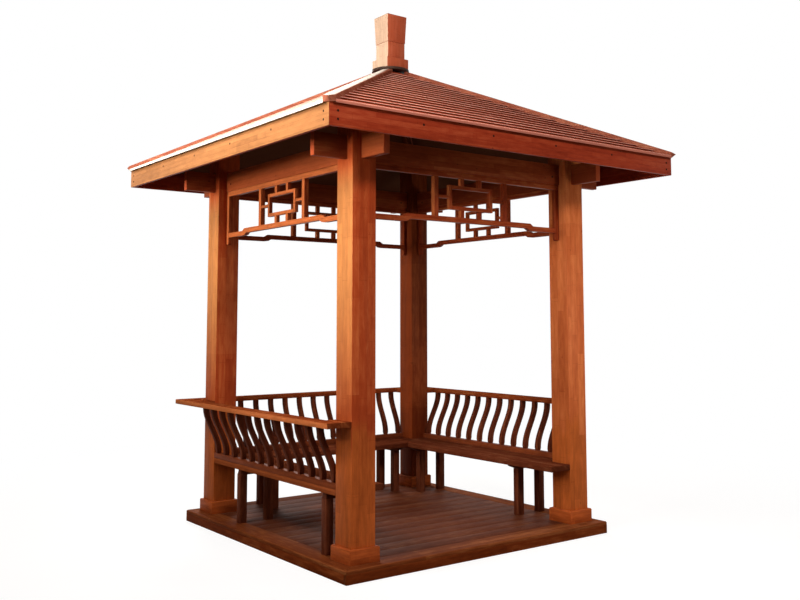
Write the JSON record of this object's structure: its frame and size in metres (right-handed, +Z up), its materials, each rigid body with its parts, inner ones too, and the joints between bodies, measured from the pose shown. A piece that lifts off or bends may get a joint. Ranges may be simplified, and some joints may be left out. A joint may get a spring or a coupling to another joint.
{
  "type": "bamboo pergola",
  "caption": "Square open pavilion of bamboo boards with a hipped roof of lapped boards, lattice friezes and benches with curved backrests along its sides.",
  "frame": {"origin": "on the ground under the deck's centre", "axes": "X along the open entrance side, +Y from the entrance to the back bench, +Z up"},
  "size_m": [3.0958, 3.0958, 3.9676],
  "materials": {
    "floor_wood": "oiled bamboo, satin",
    "floor_border_wood": "oiled bamboo, satin",
    "deck_side_wood": "oiled bamboo, satin",
    "post_wood": "oiled bamboo, satin",
    "beam_wood": "oiled bamboo, satin",
    "frieze_wood": "oiled bamboo, satin",
    "seat_wood": "oiled bamboo, satin",
    "slat_wood": "oiled bamboo, satin",
    "rail_wood": "oiled bamboo, satin",
    "leg_wood": "oiled bamboo, satin",
    "rafter_wood": "oiled bamboo, satin",
    "fascia_wood": "oiled bamboo, satin",
    "roof_wood": "oiled bamboo, satin",
    "cap_wood": "oiled bamboo, satin",
    "collar_wood": "oiled bamboo, satin",
    "finial_wood": "oiled bamboo, satin",
    "screw_steel": "zinc-plated screw heads, dull"
  },
  "bodies": {
    "root": {"deck_joists": "leg_wood", "deck_sides": "deck_side_wood", "floor_boards": "floor_wood", "floor_border": "floor_border_wood", "post_front_left": "post_wood", "post_front_right": "post_wood", "post_back_left": "post_wood", "post_back_right": "post_wood", "post_bases": "post_wood", "beam_front": "beam_wood", "beam_back": "beam_wood", "beam_left": "beam_wood", "beam_right": "beam_wood", "frieze_front": "frieze_wood", "frieze_back": "frieze_wood", "frieze_left": "frieze_wood", "frieze_right": "frieze_wood", "seat_left": "seat_wood", "seat_back": "seat_wood", "seat_right": "seat_wood", "backrest_left": "slat_wood", "backrest_back": "slat_wood", "backrest_right": "slat_wood", "handrail_left": "rail_wood", "handrail_back": "rail_wood", "handrail_right": "rail_wood", "rail_blocks": "rail_wood", "bench_legs_left": "leg_wood", "bench_legs_back": "leg_wood", "bench_legs_right": "leg_wood", "hip_rafters": "rafter_wood", "king_post": "rafter_wood", "eave_fascia": "fascia_wood", "roof_front": "roof_wood", "roof_back": "roof_wood", "roof_left": "roof_wood", "roof_right": "roof_wood", "hip_caps": "cap_wood", "finial_collar": "collar_wood", "finial_plinth": "finial_wood", "finial_neck": "finial_wood", "finial_head": "finial_wood"}
  },
  "joints": []
}
